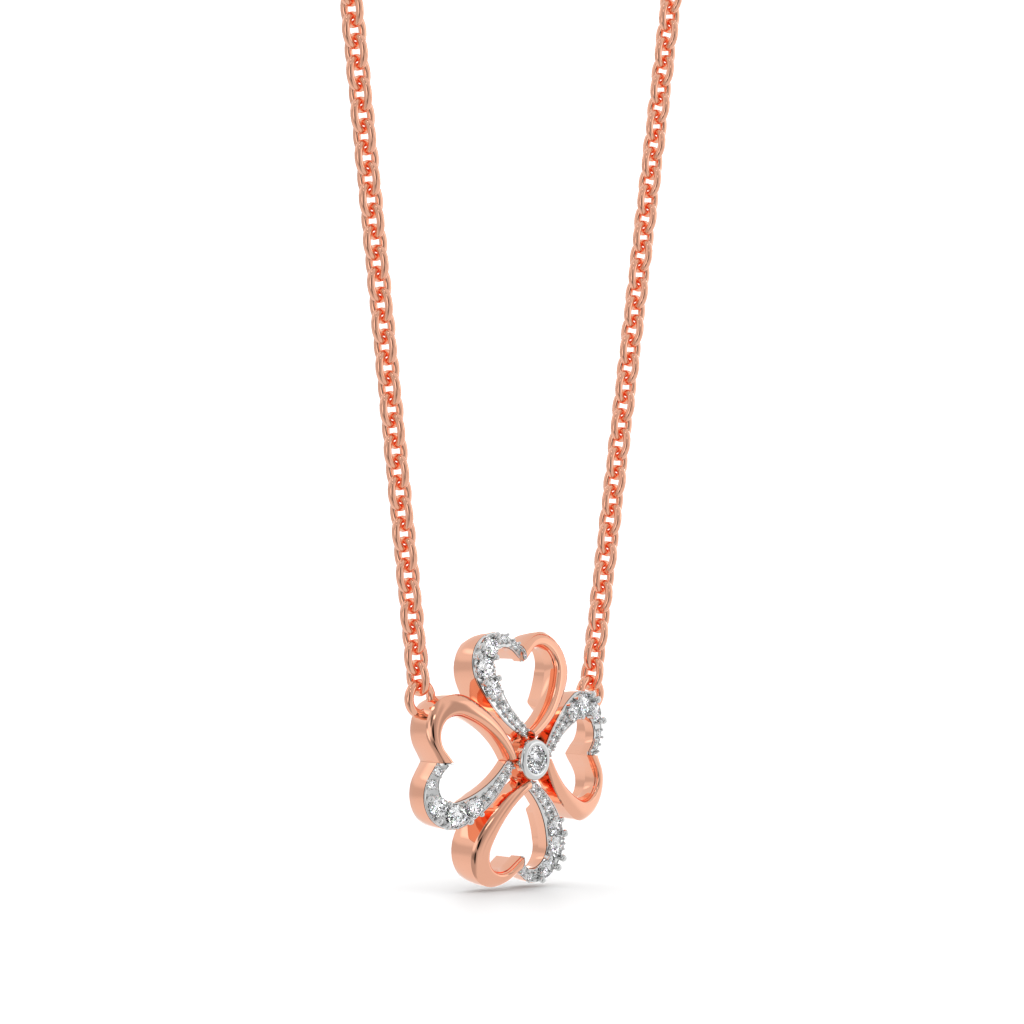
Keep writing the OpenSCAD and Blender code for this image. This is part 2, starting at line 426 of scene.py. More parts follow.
def cell_colors(nodes, links, cells, colors):
    """Cells coloured anew, each from a list of colours and the share of cells where each starts."""
    pick = nodes.new("ShaderNodeSeparateColor")
    links.new(cells, pick.inputs["Color"])
    ramp = nodes.new("ShaderNodeValToRGB")
    ramp.color_ramp.interpolation = "CONSTANT"
    stops = ramp.color_ramp.elements
    for i, (share, color) in enumerate(colors):
        stop = stops[i] if i < 2 else stops.new(share)
        stop.position = share
        stop.color = (*color, 1)
    links.new(pick.outputs["Red"], ramp.inputs["Fac"])
    return ramp.outputs["Color"]


DIAMOND_IOR = 2.42
# Tints of the stones' facets, and the share of facets where each starts
TINT_SCALE = 6000
TINTS = (
    (0.0, (0.97, 0.98, 1.0)),
    (0.55, (0.94, 0.97, 1.0)),
    (0.7, (1.0, 0.98, 0.95)),
    (0.8, (1.0, 0.95, 0.97)),
    (0.88, (0.95, 1.0, 0.98)),
    (0.94, (0.98, 0.98, 0.98)),
)


def brilliant_glass(name):
    """Clear stone that bends light as a diamond does, with faint tints from facet to facet."""
    material, nodes, links, shader = new_material(name)
    shader["Transmission Weight"].default_value = 1
    shader["IOR"].default_value = DIAMOND_IOR
    shader["Roughness"].default_value = 0
    place = nodes.new("ShaderNodeTexCoord").outputs["Object"]
    cells = random_cells(nodes, links, place, TINT_SCALE)
    links.new(cell_colors(nodes, links, cells, TINTS), shader["Base Color"])
    return material


class NecklaceFinish(bpy.types.PropertyGroup):
    """Colours and gloss of the metals."""
    rose: FloatVectorProperty(name="Rose gold", description="Colour of the clover's polished metal",
                              default=(1.0, 0.53, 0.37), subtype="COLOR", min=0, max=1)
    rose_deep: FloatVectorProperty(name="Deep rose gold", description="Colour where alloy looks deeper",
                                   default=(0.98, 0.5, 0.34), subtype="COLOR", min=0, max=1)
    white: FloatVectorProperty(name="White gold", description="Colour of the plates, rim and claws",
                               default=(0.79, 0.795, 0.79), subtype="COLOR", min=0, max=1)
    white_deep: FloatVectorProperty(name="Deep white gold", description="Colour where plating looks deeper",
                                    default=(0.73, 0.735, 0.735), subtype="COLOR", min=0, max=1)
    polish: FloatProperty(name="Polish", description="Roughness of the best polished metal",
                          default=0.02, min=0, max=1, subtype="FACTOR")
    polish_dull: FloatProperty(name="Dull polish", description="Roughness where the polish is weakest",
                               default=0.06, min=0, max=1, subtype="FACTOR")


# The metals' names, the setting that has their colour, how much duller they are
# than the setting says, and their unevenness
METALS = {
    "rose_gold": ("Rose gold", "rose", 1, 0.05),
    "rose_gold_chain": ("Rose gold wire", "rose", 1.5, 0.1),
    "white_gold": ("White gold", "white", 1, 0.08),
}


def finish(slot):
    """The material of a record's slot, made the first time it is asked for."""
    if slot == "diamond":
        return bpy.data.materials.get("Diamond") or brilliant_glass("Diamond")
    name, tone, duller, unevenness = METALS[slot]
    look = bpy.context.scene.necklace_finish
    return bpy.data.materials.get(name) or metal(name, getattr(look, tone), getattr(look, tone + "_deep"),
                                                 look.polish, look.polish_dull * duller, unevenness)


class CloverSizes(bpy.types.PropertyGroup):
    """Sizes of the polished bands' front."""
    crown_rise: FloatProperty(name="Crown rise", description="Rise of the polished crown above the dome",
                              default=0.00042, unit="LENGTH", precision=5)
    crown_inner: FloatProperty(name="Inner shoulder", description="Width of the arc up from the opening",
                               default=0.00035, unit="LENGTH", precision=5)
    crown_outer: FloatProperty(name="Outer shoulder", description="Width of the arc down to the outer edge",
                               default=0.00075, unit="LENGTH", precision=5)
    rim: FloatProperty(name="Inner rim", description="Width of the thin rim along the heart's opening",
                       default=0.00004, unit="LENGTH", precision=5)
    groove: FloatProperty(name="Groove", description="Width of the groove between rim and crown",
                          default=0.00005, unit="LENGTH", precision=5)
    groove_depth: FloatProperty(name="Groove depth", description="Depth of the groove",
                                default=0.00006, unit="LENGTH", precision=5)
    edge_round: FloatProperty(name="Edge rounding", description="Rounding of the walls' edges at the back",
                              default=0.00004, unit="LENGTH", precision=5)


def front_place(p, side, height):
    """A petal's point in the drawing of a petal that points up."""
    return Vector((side * p.x, p.y, height))


def wall_back(p, away):
    """Height of the metal's back at a point: the flat back, or the band's own back near the middle."""
    band_back = dome(p) - BAND_T
    cut = min(1, max(0, (away - CUT_FROM) / (CUT_TO - CUT_FROM)))
    return band_back + (WALL_BACK - band_back) * sqrt(1 - (1 - cut) ** 2)


def behind_front(out, foot, inn, top):
    """The rest of a heart's section after its front: outer wall, back, inner wall and the band's back."""
    width = (out - inn).length
    away = out.length
    full = min(1, max(0, (away - CUT_TO) / (WALL_FULL_FROM - CUT_TO)))
    thick = WALL_END_T + (WALL_T - WALL_END_T) * full
    ledge = out.lerp(inn, min(WALL_SHARE, thick / width))
    side = [(out.lerp(foot, s * s), top + (wall_back(foot, away) - top) * s) for s in (0.3, 0.65, 1)]
    return side + [(ledge, wall_back(ledge, away)), (ledge, dome(ledge) - BAND_T), (inn, dome(inn) - BAND_T)]


def crown_section(sizes, width):
    """Distance from the inner edge and rise above the dome, across a polished band."""
    rim, groove = sizes.rim / MM, sizes.groove / MM
    foot = rim + groove
    inner = min(sizes.crown_inner / MM, INNER_SHARE * (width - foot))
    outer = min(sizes.crown_outer / MM, OUTER_SHARE * (width - foot))
    rise = min(sizes.crown_rise / MM, RISE_SHARE * outer)
    turn = 2 * atan2(rise, outer)
    arc = outer / sin(turn)
    points = [(0, -0.03), (0.012, 0), (rim, 0), (rim + groove / 2, -sizes.groove_depth / MM)]
    points += [(foot + inner * (1 - cos(a)), rise * sin(a)) for a in spread(0, pi / 2, 7)]
    points += [(width - outer + arc * sin(a), rise - arc * (1 - cos(a))) for a in spread(0, turn, 9)]
    return points


def trough_section(width):
    """Distance from the inner edge and rise, across the trough that takes the stones' points."""
    side = ((0, 0), (TROUGH_EDGE, 0), (TROUGH_EDGE + TROUGH_LEAN, -TROUGH_DEPTH))
    return side + tuple((width - x, rise) for x, rise in reversed(side))


def heart_rows(side, inner, front, sink):
    """Sections of half a heart, its front as a function of its width and sunk under the dome."""
    rows = []
    lines = zip(outline(OUTER, CLEFT_FILLET), outline(FOOT, CLEFT_FILLET), outline(inner, CLEFT_FILLET / 2))
    for out, foot, inn in lines:
        width = (out - inn).length
        section = []
        for x, rise in front(width):
            p = inn.lerp(out, x / width)
            height = dome(p) - sink + rise
            if p.length < RIM_R + PIECE_GAP:
                height = min(height, RIM_FOOT - PIECE_GAP)
            section.append((p, height))
        section += behind_front(out, foot, inn, dome(out) - sink)
        rows.append([front_place(p.yx, side, h) for p, h in section])
    return rows


def round_edges(bm, edges, radius, segments):
    """Rounds edges of a mesh."""
    bmesh.ops.bevel(bm, geom=edges, offset=radius, offset_type="OFFSET", segments=segments, profile=0.5,
                    affect="EDGES", clamp_overlap=True, material=-1)


def is_back_edge(edge):
    """Whether an edge is a sharp one behind the front, between faces of four sides."""
    middle = (edge.verts[0].co + edge.verts[1].co) / 2
    deep = middle.z < dome(middle) - BAND_T / 2
    plain = all(len(face.verts) == 4 for face in edge.link_faces)
    return deep and plain and edge.calc_face_angle(0) > radians(50)


def on_petals(name, parts, slot, angle=32):
    """Turned copies of the parts on every petal, as pairs of the petal's name and its piece."""
    pairs = []
    for i, petal in enumerate(PETALS):
        bm = bmesh.new()
        for part in parts:
            add_copy(bm, part, Matrix.Rotation(radians(90 * i), 4, "Z"))
        pairs.append((petal, piece(name + petal, bm, slot, angle=angle)))
    for part in parts:
        bpy.data.meshes.remove(part)
    return pairs


class NECKLACE_OT_hearts(bpy.types.Operator):
    """Make the four open hearts of rose gold"""
    bl_idname = "necklace.hearts"
    bl_label = "Hearts"

    def execute(self, context):
        sizes = context.scene.necklace_clover
        parts = []
        for rows in (heart_rows(POLISHED, POLISHED_IN, partial(crown_section, sizes), 0),
                     heart_rows(STONES, SEAT_IN, trough_section, PLATE_T + PIECE_GAP)):
            half = swept(rows)
            round_edges(half, [edge for edge in half.edges if is_back_edge(edge)], sizes.edge_round / MM, 2)
            parts.append(as_part(half, "half"))
        for petal, heart in on_petals("heart_", parts, "rose_gold", angle=24):
            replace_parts(heart, "clover_frame")
        return {"FINISHED"}


class NECKLACE_OT_hub(bpy.types.Operator):
    """Make the hub with its collar, and the two side rings with their solder"""
    bl_idname = "necklace.hub"
    bl_label = "Hub and side rings"

    def execute(self, context):
        top = RIM_FOOT - PIECE_GAP
        low = CUP_BACK - PIECE_GAP
        funnel = (top - low) / tan(radians(MAIN_SLOPE))
        soft, lip, bevel = 0.1, 0.05, 0.03
        profile = ((0, HUB_BACK), (HUB_R - soft, HUB_BACK), (HUB_R, HUB_BACK + soft),
                   (HUB_R, HUB_FRONT - lip), (HUB_R - lip, HUB_FRONT), (COLLAR_R, HUB_FRONT),
                   (COLLAR_R, top - bevel), (COLLAR_R - bevel, top), (funnel, top), (0, low))
        piece("hub", spun(profile, ROUND_STEPS), "rose_gold")
        return make_side_rings(context.scene.necklace_chain)


def make_side_rings(sizes):
    """The two rings soldered to the left and right hearts, with pads of solder where they enter."""
    wire = sizes.ring_wire / MM
    radius = sizes.ring_size / MM / 2 - wire / 2
    ring_part = as_part(ring(radius, wire, WIRE_STEPS, 16), "ring")
    pad = bmesh.new()
    bmesh.ops.create_uvsphere(pad, u_segments=16, v_segments=10, radius=wire * SOLDER_SHARE)
    pad_part = as_part(pad, "pad")
    lobe = spot(OUTER)
    away = (SIDE_RING - lobe).length
    reach = (OUTER.radius ** 2 - radius ** 2 + away ** 2) / (2 * away)
    half_width = sqrt(OUTER.radius ** 2 - reach ** 2)
    out = (SIDE_RING - lobe).normalized()
    aside = Vector((-out.y, out.x))
    for name, side in (("left", -1), ("right", 1)):
        bm = bmesh.new()
        add_copy(bm, ring_part, Matrix.Translation((side * SIDE_RING.x, SIDE_RING.y, 0)))
        for turn in (-1, 1):
            p = lobe + out * reach + aside * turn * half_width
            add_copy(bm, pad_part, Matrix.Translation((side * p.x, p.y, 0)) @ Matrix.Diagonal((1, 1, 0.9, 1)))
        piece("side_ring_" + name, bm, "rose_gold")
    bpy.data.meshes.remove(ring_part)
    bpy.data.meshes.remove(pad_part)
    return {"FINISHED"}


def clear_of_collar(p):
    """Moves a plate's point out of the collar and off the petal's middle line."""
    away = COLLAR_R + PIECE_GAP
    moved = p * (away / p.length) if p.length < away else p
    return Vector((moved.x, max(moved.y, PIECE_GAP)))


def plate_rows():
    """Sections of a stone plate: two bright rims, the flat between them, and its body in the trough."""
    soft, rim, step, low = 0.06, 0.12, 0.03, 0.05
    body = TROUGH_EDGE + 0.06
    floor = PLATE_T + TROUGH_DEPTH
    rows = []
    for out, inn in zip(outline(PLATE_OUT, CLEFT_FILLET), outline(PLATE_IN, CLEFT_FILLET / 2)):
        width = (out - inn).length
        edge = ((0, -soft), (soft, 0), (rim, 0), (rim + step, -low))
        flat = [(x, -low) for x in spread(rim + step, width - rim - step, 6)[1:-1]]
        section = list(edge) + flat + [(width - x, h) for x, h in reversed(edge)]
        section += [(width, -PLATE_T), (width - body, -PLATE_T), (width - body - step, -floor),
                    (body + step, -floor), (body, -PLATE_T), (0, -PLATE_T)]
        row = []
        for x, rise in section:
            p = clear_of_collar(inn.lerp(out, x / width))
            row.append(front_place(p.yx, STONES, dome(p) + rise))
        rows.append(row)
    return rows


def end_wall(sizes):
    """The plate's leaning wall at the cleft, as high as the polished crown that ends there."""
    # Its thickness at the top and at the dome
    thin, foot = 0.05, 0.22
    out = Vector((PLATE_OUT.cleft, 0))
    inn = Vector((PLATE_IN.cleft, 0))
    width = (out - inn).length
    tall = sizes.crown_rise / MM
    front = [(inn.lerp(out, x / width), rise) for x, rise in crown_section(sizes, width)]
    rows = []
    for lean_by in (0, 1):
        row = []
        for p, rise in front:
            across = PIECE_GAP + lean_by * (thin + (foot - thin) * (1 - max(0, rise) / tall))
            row.append(front_place(Vector((across, p.x)), STONES, dome(p) + rise))
        for p in (out, inn):
            row.append(front_place(Vector((PIECE_GAP + lean_by * foot, p.x)), STONES, dome(p) - PLATE_T))
        rows.append(row)
    return swept(rows)


def lean(p):
    """Turn from straight forward to the dome's own direction at a point of the drawing."""
    normal = Vector((p.x, p.y, sqrt(DOME_RADIUS ** 2 - p.x ** 2 - p.y ** 2)))
    return Vector((0, 0, 1)).rotation_difference(normal).to_matrix().to_4x4()


def seat_of(p, height):
    """Matrix that sets a piece on the stones' half at a place along and across the petal."""
    p = Vector((-p.y, p.x))
    return Matrix.Translation((p.x, p.y, dome(p) + height)) @ lean(p)


def pits():
    """Seats to cut into a plate for its stones: a round hole with a pointed floor."""
    bm = bmesh.new()
    above = 0.3
    for stone in ROW:
        room = 0.06 if stone.size == SMALL else 0.03
        radius = stone.size / 2 + room
        floor = stone.lift - stone.size * (CULET_SHARE + GIRDLE_SHARE) - PIECE_GAP
        brim = min(stone.lift - stone.size * GIRDLE_SHARE, -0.03)
        hole = as_part(spun(((0, floor), (radius, brim), (radius, above), (0, above)), 32), "hole")
        add_copy(bm, hole, seat_of(spot(stone), 0))
        bpy.data.meshes.remove(hole)
    bmesh.ops.recalc_face_normals(bm, faces=bm.faces)
    return bm


def cut_away(bm, cutter):
    """The first mesh without the space of the second."""
    solid = bpy.data.objects.new("solid", as_part(bm, "solid"))
    tool = bpy.data.objects.new("tool", as_part(cutter, "tool"))
    for obj in (solid, tool):
        bpy.context.scene.collection.objects.link(obj)
    cut = solid.modifiers.new("cut", "BOOLEAN")
    cut.operation = "DIFFERENCE"
    cut.solver = "EXACT"
    cut.use_self = True
    cut.object = tool
    result = bmesh.new()
    result.from_object(solid, bpy.context.evaluated_depsgraph_get())
    for obj in (solid, tool):
        mesh = obj.data
        bpy.data.objects.remove(obj)
        bpy.data.meshes.remove(mesh)
    return result


class NECKLACE_OT_plates(bpy.types.Operator):
    """Make the four white gold plates with a seat for every stone"""
    bl_idname = "necklace.plates"
    bl_label = "Stone plates"

    def execute(self, context):
        parts = (as_part(cut_away(swept(plate_rows()), pits()), "plate"),
                 as_part(end_wall(context.scene.necklace_clover), "end wall"))
        for petal, plate in on_petals("plate_", parts, "white_gold"):
            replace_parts(plate, "pave_" + petal)
        return {"FINISHED"}


def cut_facet(bm, point, normal):
    """Cuts a stone along a plane and closes the cut."""
    result = bmesh.ops.bisect_plane(bm, geom=bm.verts[:] + bm.edges[:] + bm.faces[:], dist=1e-6,
                                    plane_co=point, plane_no=normal, clear_outer=True)
    edges = [g for g in result["geom_cut"] if isinstance(g, bmesh.types.BMEdge)]
    bmesh.ops.edgenet_fill(bm, edges=edges)


def brilliant(size):
    """A round brilliant with its girdle's front at height zero, cut facet by facet."""
    radius = size / 2
    girdle = size * GIRDLE_SHARE
    table = radius * TABLE_SHARE
    table_height = (radius - table) * tan(radians(KITE_SLOPE))
    depth = size * CULET_SHARE
    bm = bmesh.new()
    bmesh.ops.create_cone(bm, cap_ends=True, segments=32, radius1=radius, radius2=radius,
                          depth=table_height + depth + girdle,
                          matrix=Matrix.Translation((0, 0, (table_height - depth - girdle) / 2)))

    near_edge = radius * cos(radians(11.25))
    for count, first, distance, height, slope, way in (
            (8, 0, radius, 0, KITE_SLOPE, 1),
            (16, 11.25, near_edge, 0, UPPER_SLOPE, 1),
            (8, 22.5, table * cos(radians(22.5)), table_height, STAR_SLOPE, 1),
            (16, 11.25, near_edge, -girdle, LOWER_SLOPE, -1),
            (8, 0, radius, -girdle, MAIN_SLOPE, -1)):
        out, rise = sin(radians(slope)), cos(radians(slope)) * way
        for k in range(count):
            turn = direction(first + 360 * k / count)
            cut_facet(bm, (*(turn * distance), height), (*(turn * out), rise))
    bmesh.ops.dissolve_degenerate(bm, edges=bm.edges, dist=size * 0.002)
    bmesh.ops.recalc_face_normals(bm, faces=bm.faces)
    return bm


class NECKLACE_OT_stones(bpy.types.Operator):
    """Make the stones of the four plates"""
    bl_idname = "necklace.stones"
    bl_label = "Plate stones"

    def execute(self, context):
        cuts = {size: as_part(brilliant(size), "cut") for size in {stone.size for stone in ROW}}
        bm = bmesh.new()
        for k, stone in enumerate(ROW):
            turned = Matrix.Rotation(radians(STONE_TURN * k), 4, "Z")
            add_copy(bm, cuts[stone.size], seat_of(spot(stone), stone.lift) @ turned)
        for part in cuts.values():
            bpy.data.meshes.remove(part)
        on_petals("stones_", [as_part(bm, "row")], "diamond", angle=1)
        return {"FINISHED"}


def bead_places(distance):
    """The four corners of every small stone, where a bead of the plate's metal is pushed over it."""
    places = []
    for k, stone in enumerate(ROW):
        if stone.size != SMALL:
            continue
        before, after = ROW[max(k - 1, 0)], ROW[min(k + 1, len(ROW) - 1)]
        heading = degrees(atan2(after.across - before.across, after.along - before.along))
        for corner in (45, 135, 225, 315):
            places.append(spot(stone) + distance * direction(heading + corner))
    return places


def depth_inside(half, p):
    """How far inside a half outline's arcs a place along and across the petal lies."""
    lobe = spot(half)
    off = p - lobe
    if degrees(atan2(off.y, off.x)) < half.meet:
        return half.radius - off.length
    leg = lobe - (half.leg_radius - half.radius) * direction(half.meet)
    return half.leg_radius - (p - leg).length


def beads_round(stone, radius):
    """Places for beads in the metal round a large stone, clear of the edges, other stones and claws."""
    places = []
    for k in range(BEADS_ROUND):
        p = spot(stone) + (stone.size / 2 + radius * 0.6) * direction(360 * k / BEADS_ROUND)
        on_plate = depth_inside(OUTER, p) > radius and depth_inside(PLATE_IN, p) < -radius
        off_stones = all((p - spot(s)).length > s.size / 2 + radius * 0.5 for s in ROW)
        off_claws = all((p - spot(claw)).length > CLAW_ROOM * claw.share for claw in CLAWS)
        if on_plate and off_stones and off_claws:
            places.append(p)
    return places


def claw_shape(ball, stem, tall):
    """A claw: a round stem, sunk a little into the plate, with a ball at its tip."""
    sunk = -0.1
    neck = sqrt(ball ** 2 - stem ** 2)
    turns = spread(-acos(stem / ball), pi / 2, 7)[1:-1]
    profile = [(0, sunk), (stem, sunk), (stem, tall - ball - neck)]
    profile += [(ball * cos(a), tall - ball + ball * sin(a)) for a in turns]
    return as_part(spun(profile + [(0, tall)], 14), "claw")


class NECKLACE_OT_claws(bpy.types.Operator):
    """Make the beads and claws that hold the plate stones"""
    bl_idname = "necklace.claws"
    bl_label = "Claws"

    def execute(self, context):
        bead_part = claw_shape(BEAD_R, BEAD_R * 0.9, BEAD_HEIGHT)
        claw_part = claw_shape(CLAW_R, CLAW_R * 0.87, CLAW_HEIGHT)
        places = bead_places(SMALL / 2 + BEAD_R * 0.55)
        for stone in ROW:
            if stone.size > SMALL:
                places += beads_round(stone, BEAD_R * 1.3)
        bm = bmesh.new()
        for p in places:
            add_copy(bm, bead_part, seat_of(p, 0))
        for claw in CLAWS:
            add_copy(bm, claw_part, seat_of(spot(claw), 0) @ Matrix.Scale(claw.share, 4))
        for part in (bead_part, claw_part):
            bpy.data.meshes.remove(part)
        on_petals("claws_", [as_part(bm, "claws")], "white_gold", angle=60)
        return {"FINISHED"}


class NECKLACE_OT_centre(bpy.types.Operator):
    """Make the centre stone and the white gold rim round it"""
    bl_idname = "necklace.centre"
    bl_label = "Centre stone"

    def execute(self, context):
        inside = CENTER_D / 2 + PIECE_GAP / 2
        lip = inside - 0.08
        cup = (RIM_FOOT - CUP_BACK) / tan(radians(MAIN_SLOPE))
        soft = 0.3
        profile = [(0, CUP_BACK), (cup, RIM_FOOT), (RIM_R - 0.02, RIM_FOOT), (RIM_R, RIM_FOOT + 0.02)]
        profile += [(RIM_R - soft * (1 - cos(a)), RIM_FRONT - soft * (1 - sin(a)))
                    for a in spread(0, pi / 2, 8)]
        profile += [(lip + 0.04, RIM_FRONT - 0.02), (lip, RIM_FRONT - 0.06),
                    (lip, GIRDLE_FRONT + 0.09), (inside, GIRDLE_FRONT + 0.06),
                    (inside, GIRDLE_FRONT - CENTER_D * GIRDLE_SHARE - 0.02), (0, CUP_FLOOR)]
        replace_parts(piece("bezel_rim", spun(profile, ROUND_STEPS), "white_gold"), "bezel")
        stone = brilliant(CENTER_D)
        bmesh.ops.translate(stone, verts=stone.verts, vec=(0, 0, GIRDLE_FRONT))
        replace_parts(piece("center_brilliant", stone, "diamond", angle=1), "center_stone")
        return {"FINISHED"}


class ChainSizes(bpy.types.PropertyGroup):
    """Sizes of the side rings and links."""
    ring_size: FloatProperty(name="Side ring", description="Outer diameter of a side ring",
                             default=0.0027, unit="LENGTH", precision=5)
    ring_wire: FloatProperty(name="Side ring wire", description="Wire of a side ring",
                             default=0.00065, unit="LENGTH", precision=5)
    link_wire: FloatProperty(name="Link wire", description="Wire of a link",
                             default=0.0006, unit="LENGTH", precision=5)
    link_length: FloatProperty(name="Link length", description="Outer length of a link",
                               default=0.00262, unit="LENGTH", precision=5)
    link_width: FloatProperty(name="Link width", description="Outer width of a link",
                              default=0.0021, unit="LENGTH", precision=5)
    pitch: FloatProperty(name="Pitch", description="Distance from link to link",
                         default=0.0014, unit="LENGTH", precision=5)


def smooth_route(points, steps):
    """Points along a smooth curve through all given ones."""
    points = [Vector(p) for p in points]
    fine = []
    for i in range(len(points) - 1):
        a, b = points[i], points[i + 1]
        if i == 0:
            fine += [a.lerp(b, s) for s in spread(0, 1, steps * 4)[:-1]]
            continue
        reach = (b - a).length
        leave = (b - points[i - 1]).normalized() * reach if i > 1 else (b - a)
        arrive = (points[min(i + 2, len(points) - 1)] - a).normalized() * reach
        for s in spread(0, 1, steps)[:-1]:
            fine.append((2 * s ** 3 - 3 * s ** 2 + 1) * a + (s ** 3 - 2 * s ** 2 + s) * leave
                        + (3 * s ** 2 - 2 * s ** 3) * b + (s ** 3 - s ** 2) * arrive)
    return fine + [points[-1]]


def evenly_placed(points, pitch):
    """Links' places and headings: an even number of steps as close to the pitch as fits."""
    lengths = [0]
    for a, b in zip(points, points[1:]):
        lengths.append(lengths[-1] + (b - a).length)
    count = 2 * round(lengths[-1] / pitch / 2)
    places = []
    k = 0
    for n in range(1, count):
        goal = lengths[-1] * n / count
        while lengths[k + 1] < goal:
            k += 1
        a, b = points[k], points[k + 1]
        places.append((a.lerp(b, (goal - lengths[k]) / (lengths[k + 1] - lengths[k])), (b - a).normalized()))
    return places


def link_cage(sizes):
    """One link with its length along Z and its wire's ring in the XZ plane, ready to be subdivided."""
    around, sides = 12, 6
    # Subdivided wire lies inside its cage, so the cage is larger by as much
    keep = (3 + cos(2 * pi / sides)) / 4
    wire = sizes.link_wire / keep
    radius = (sizes.link_width - sizes.link_wire) / 2 * 4 / (3 + cos(2 * pi / around))
    bm = ring(radius / MM, wire / MM, around, sides)
    stretch = (sizes.link_length - sizes.link_width) / 2 / MM
    bmesh.ops.rotate(bm, verts=bm.verts, cent=(0, 0, 0), matrix=Matrix.Rotation(pi / 2, 3, "X"))
    for vert in bm.verts:
        share = max(-1, min(1, 2 * vert.co.z / (radius / MM)))
        vert.co.z += stretch * share
    bmesh.ops.recalc_face_normals(bm, faces=bm.faces)
    bmesh.ops.scale(bm, verts=bm.verts, vec=(MM, MM, MM))
    return as_part(bm, "link")


class NECKLACE_OT_chains(bpy.types.Operator):
    """Make the two strands, link through link from the side rings to the clasp"""
    bl_idname = "necklace.chains"
    bl_label = "Link chains"

    def execute(self, context):
        sizes = context.scene.necklace_chain
        link = link_cage(sizes)
        places = evenly_placed(smooth_route(ROUTE, 12), sizes.pitch)
        for name, side in (("left", 1), ("right", -1)):
            bm = bmesh.new()
            for n, (p, heading) in enumerate(places):
                length = Vector((side * heading.x, 0, heading.y))
                flat = Vector((0, 1, 0)).cross(length)
                width, depth = (Vector((0, 1, 0)), -flat) if n % 2 == 0 else (flat, Vector((0, 1, 0)))
                turn = Matrix((width, depth, length)).transposed().to_4x4()
                add_copy(bm, link, Matrix.Translation((side * p.x, 0, p.y)) @ turn)
            strand = piece("links_" + name, bm, "rose_gold_chain", Matrix.Identity(4), angle=180)
            soft = strand.modifiers.new("round wire", "SUBSURF")
            soft.levels = soft.render_levels = 1
            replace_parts(strand, "chain_" + name)
        bpy.data.meshes.remove(link)
        return {"FINISHED"}


class NECKLACE_OT_clasp(bpy.types.Operator):
    """Make the plain clasp with its two eyes"""
    bl_idname = "necklace.clasp"
    bl_label = "Clasp"

    def execute(self, context):
        length, height, thick = 6.2, 2.6, 1.8
        eye, wire, eye_out = 2.7, 0.6, 1.0
        bm = bmesh.new()
        bmesh.ops.create_circle(bm, cap_ends=True, segments=40, radius=height / 2)
        for vert in bm.verts:
            if abs(vert.co.x) > 0.001:
                vert.co.x += (length - height) / 2 * (1 if vert.co.x > 0 else -1)
        up = bmesh.ops.extrude_face_region(bm, geom=bm.faces[:])
        raised = [g for g in up["geom"] if isinstance(g, bmesh.types.BMVert)]
        bmesh.ops.translate(bm, verts=raised, vec=(0, 0, thick))
        bmesh.ops.translate(bm, verts=bm.verts, vec=(0, 0, -thick / 2))
        bmesh.ops.recalc_face_normals(bm, faces=bm.faces)
        rims = [edge for edge in bm.edges if edge.calc_face_angle(0) > radians(60)]
        round_edges(bm, rims, 0.5, 5)
        eye_part = as_part(ring((eye - wire) / 2, wire, WIRE_STEPS, 14), "eye")
        for side in (-1, 1):
            add_copy(bm, eye_part, Matrix.Translation((side * (length / 2 + eye_out), 0, 0)))
        bpy.data.meshes.remove(eye_part)
        low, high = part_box("clasp")
        body = piece("clasp_body", bm, "rose_gold_chain", frame_place((low + high) / 2))
        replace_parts(body, "clasp")
        return {"FINISHED"}


class StudioSizes(bpy.types.PropertyGroup):
    """Camera and light."""
    azimuth: FloatProperty(name="Azimuth", description="Camera's turn round the necklace from the front",
                           default=radians(-45.776), subtype="ANGLE")
    elevation: FloatProperty(name="Elevation", description="Camera's height as an angle",
                             default=radians(-1.1673), subtype="ANGLE")
    roll: FloatProperty(name="Roll", description="Camera's turn round its own axis",
                        default=radians(0.7418), subtype="ANGLE")
    distance: FloatProperty(name="Distance", description="Distance of the camera from its aim",
                            default=0.20159, unit="LENGTH", precision=5)
    aim_right: FloatProperty(name="Aim right", description="Aim to the right of the clover's middle",
                             default=0.00037, unit="LENGTH", precision=5)
    aim_up: FloatProperty(name="Aim up", description="Aim above the clover's middle",
                          default=0.01707, unit="LENGTH", precision=5)
    lens: FloatProperty(name="Lens", description="Focal length in millimetres on a 36 mm sensor",
                        default=101.95)
    floor_gap: FloatProperty(name="Floor gap", description="Room between the clover and the floor",
                             default=0.0003, unit="LENGTH", precision=5)
    white: FloatProperty(name="White", description="Brightness of the backdrop", default=1.3)


